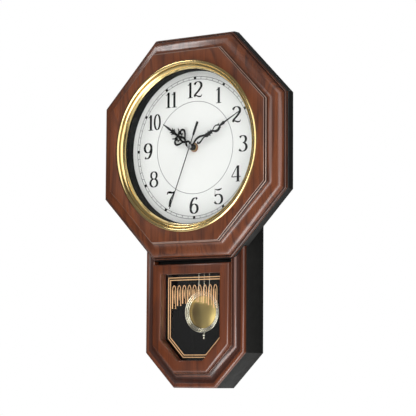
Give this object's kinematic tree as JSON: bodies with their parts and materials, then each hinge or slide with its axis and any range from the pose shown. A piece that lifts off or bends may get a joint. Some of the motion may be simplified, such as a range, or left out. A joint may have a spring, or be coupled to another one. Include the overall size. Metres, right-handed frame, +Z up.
{
  "type": "pendulum wall clock",
  "caption": "Octagonal wooden wall clock with white numbered dial, gold bezel, ornate black hands and a brass pendulum swinging behind a glazed drop case.",
  "frame": {"origin": "the hanging point: top of the keyhole slot in the hanger plate, on the wall plane behind the clock", "axes": "+Z up, the dial faces -Y, the wall is on the +Y side, +X to the right as seen from the front"},
  "size_m": [0.287, 0.0689, 0.4527],
  "materials": {
    "walnut": "satin lacquered red-brown walnut, whitish highlights",
    "black_paint": "satin charcoal black lacquer on board",
    "panel_black": "matt black hardboard",
    "gold": "polished gold plate",
    "brass": "satin yellow brass",
    "silver": "polished silver with a warm tint",
    "steel": "plain zinc-plated steel",
    "glass": "clear float glass",
    "black_liner": "matt black moulded liner",
    "dial_white": "sheet printed satin white with black numerals",
    "fibre_brown": "brown rubber washer",
    "hand_black": "pressed sheet, satin black lacquer",
    "movement": "black moulded plastic",
    "nylon": "natural white nylon",
    "copper": "enamelled copper winding",
    "board_green": "green solder-masked board",
    "battery": "plain steel-blue cell jacket",
    "plain_wood": "unfinished pine"
  },
  "bodies": {
    "case": {"octagon_frame": "walnut", "cove_moulding": "walnut", "sash_frame": "walnut", "octagon_board": "black_paint", "rear_case": "black_paint", "neck_rail": "black_paint", "back_panel": "panel_black", "bezel_ring": "gold", "dial_glass": "glass", "window_glass": "glass", "recess_liner": "black_liner", "dial_plate": "dial_white", "dial_washer": "fibre_brown", "centre_nut": "brass", "hanger_plate": "steel", "hanger_screw_left": "steel", "hanger_screw_right": "steel", "contact_minus": "steel", "contact_plus": "steel", "pivot_pin": "steel", "glass_clip_upper_left": "steel", "glass_clip_upper_right": "steel", "glass_clip_lower_left": "steel", "glass_clip_lower_right": "steel", "clip_screw_upper_left": "steel", "clip_screw_upper_right": "steel", "clip_screw_lower_left": "steel", "clip_screw_lower_right": "steel", "panel_screw_upper_left": "steel", "panel_screw_upper_right": "steel", "panel_screw_lower_left": "steel", "panel_screw_lower_right": "steel", "corner_block_upper_left": "plain_wood", "corner_block_upper_right": "plain_wood", "corner_block_lower_left": "plain_wood", "corner_block_lower_right": "plain_wood", "movement_case": "movement", "movement_cover": "movement", "pendulum_drive": "movement", "battery": "battery", "circuit_board": "board_green", "motor_coil": "copper"},
    "hour_hand_body": {"hour_hand": "hand_black", "hour_wheel": "nylon"},
    "minute_hand_body": {"minute_hand": "hand_black", "minute_wheel": "nylon"},
    "second_hand_body": {"second_hand": "hand_black", "second_wheel": "steel", "hand_cap": "steel"},
    "motion_wheel_body": {"motion_wheel": "nylon"},
    "setting_knob_body": {"setting_knob": "nylon"},
    "pendulum": {"pendulum_lever": "nylon", "rod_bridge": "steel", "pendulum_rod_left": "silver", "pendulum_rod_centre": "silver", "pendulum_rod_right": "silver", "bob_ring": "silver", "bob_dome": "brass", "rating_nut": "silver", "rod_finial": "silver"}
  },
  "joints": [
    {"name": "minute_hand_turn", "type": "hinge", "parent": "case", "child": "minute_hand_body", "pos_m": [0, -0.05, -0.068], "axis": [0, 1, 0], "continuous": true},
    {"name": "hour_hand_turn", "type": "hinge", "parent": "case", "child": "hour_hand_body", "pos_m": [0, -0.05, -0.068], "axis": [0, 1, 0], "continuous": true},
    {"name": "motion_wheel_turn", "type": "hinge", "parent": "case", "child": "motion_wheel_body", "pos_m": [-0.0145, -0.036, -0.068], "axis": [0, 1, 0], "continuous": true},
    {"name": "setting_knob_turn", "type": "hinge", "parent": "case", "child": "setting_knob_body", "pos_m": [0.0129, -0.024, -0.068], "axis": [0, 1, 0], "continuous": true},
    {"name": "second_hand_turn", "type": "hinge", "parent": "case", "child": "second_hand_body", "pos_m": [0, -0.05, -0.068], "axis": [0, 1, 0], "continuous": true},
    {"name": "pendulum_swing", "type": "hinge", "parent": "case", "child": "pendulum", "pos_m": [0, -0.0249, -0.102], "axis": [0, 1, 0], "range_deg": [-6, 6]}
  ],
  "couplings": [
    {"joint": "hour_hand_turn", "follows": "minute_hand_turn", "ratio": 0.083333},
    {"joint": "motion_wheel_turn", "follows": "minute_hand_turn", "ratio": -0.33333},
    {"joint": "setting_knob_turn", "follows": "minute_hand_turn", "ratio": -2.5}
  ]
}
